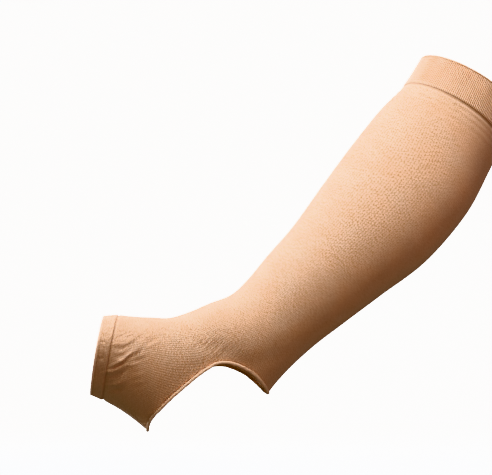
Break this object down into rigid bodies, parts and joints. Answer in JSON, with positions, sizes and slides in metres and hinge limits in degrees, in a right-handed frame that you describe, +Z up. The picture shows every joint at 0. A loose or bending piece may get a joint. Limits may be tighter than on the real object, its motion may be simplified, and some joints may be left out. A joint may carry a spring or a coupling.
{
  "type": "leg protector sleeve",
  "caption": "Knitted sleeve that covers the lower leg and the back of the foot, with a ribbed elastic top, an open heel edged with a rolled cord and an open foot end.",
  "frame": {"origin": "centre of the top welt, where the calf holds the sleeve up", "axes": "+Z up and +X from the foot towards the knee's side of the picture, in the pose it is worn in; Y is across the sleeve, with the inner side of a right leg at -Y"},
  "size_m": [0.3405, 0.114, 0.3054],
  "materials": {
    "ribbed_knit": "matt elastic rib knit",
    "fine_knit": "matt fine jersey knit, lightly heathered",
    "hem_knit": "matt fine jersey knit, turned and doubled",
    "rolled_edge": "smooth rolled and overcast knit edge"
  },
  "bodies": {
    "root": {"top_welt": "ribbed_knit", "leg_tube": "fine_knit", "foot_hem": "hem_knit", "heel_cord": "rolled_edge"}
  },
  "joints": []
}
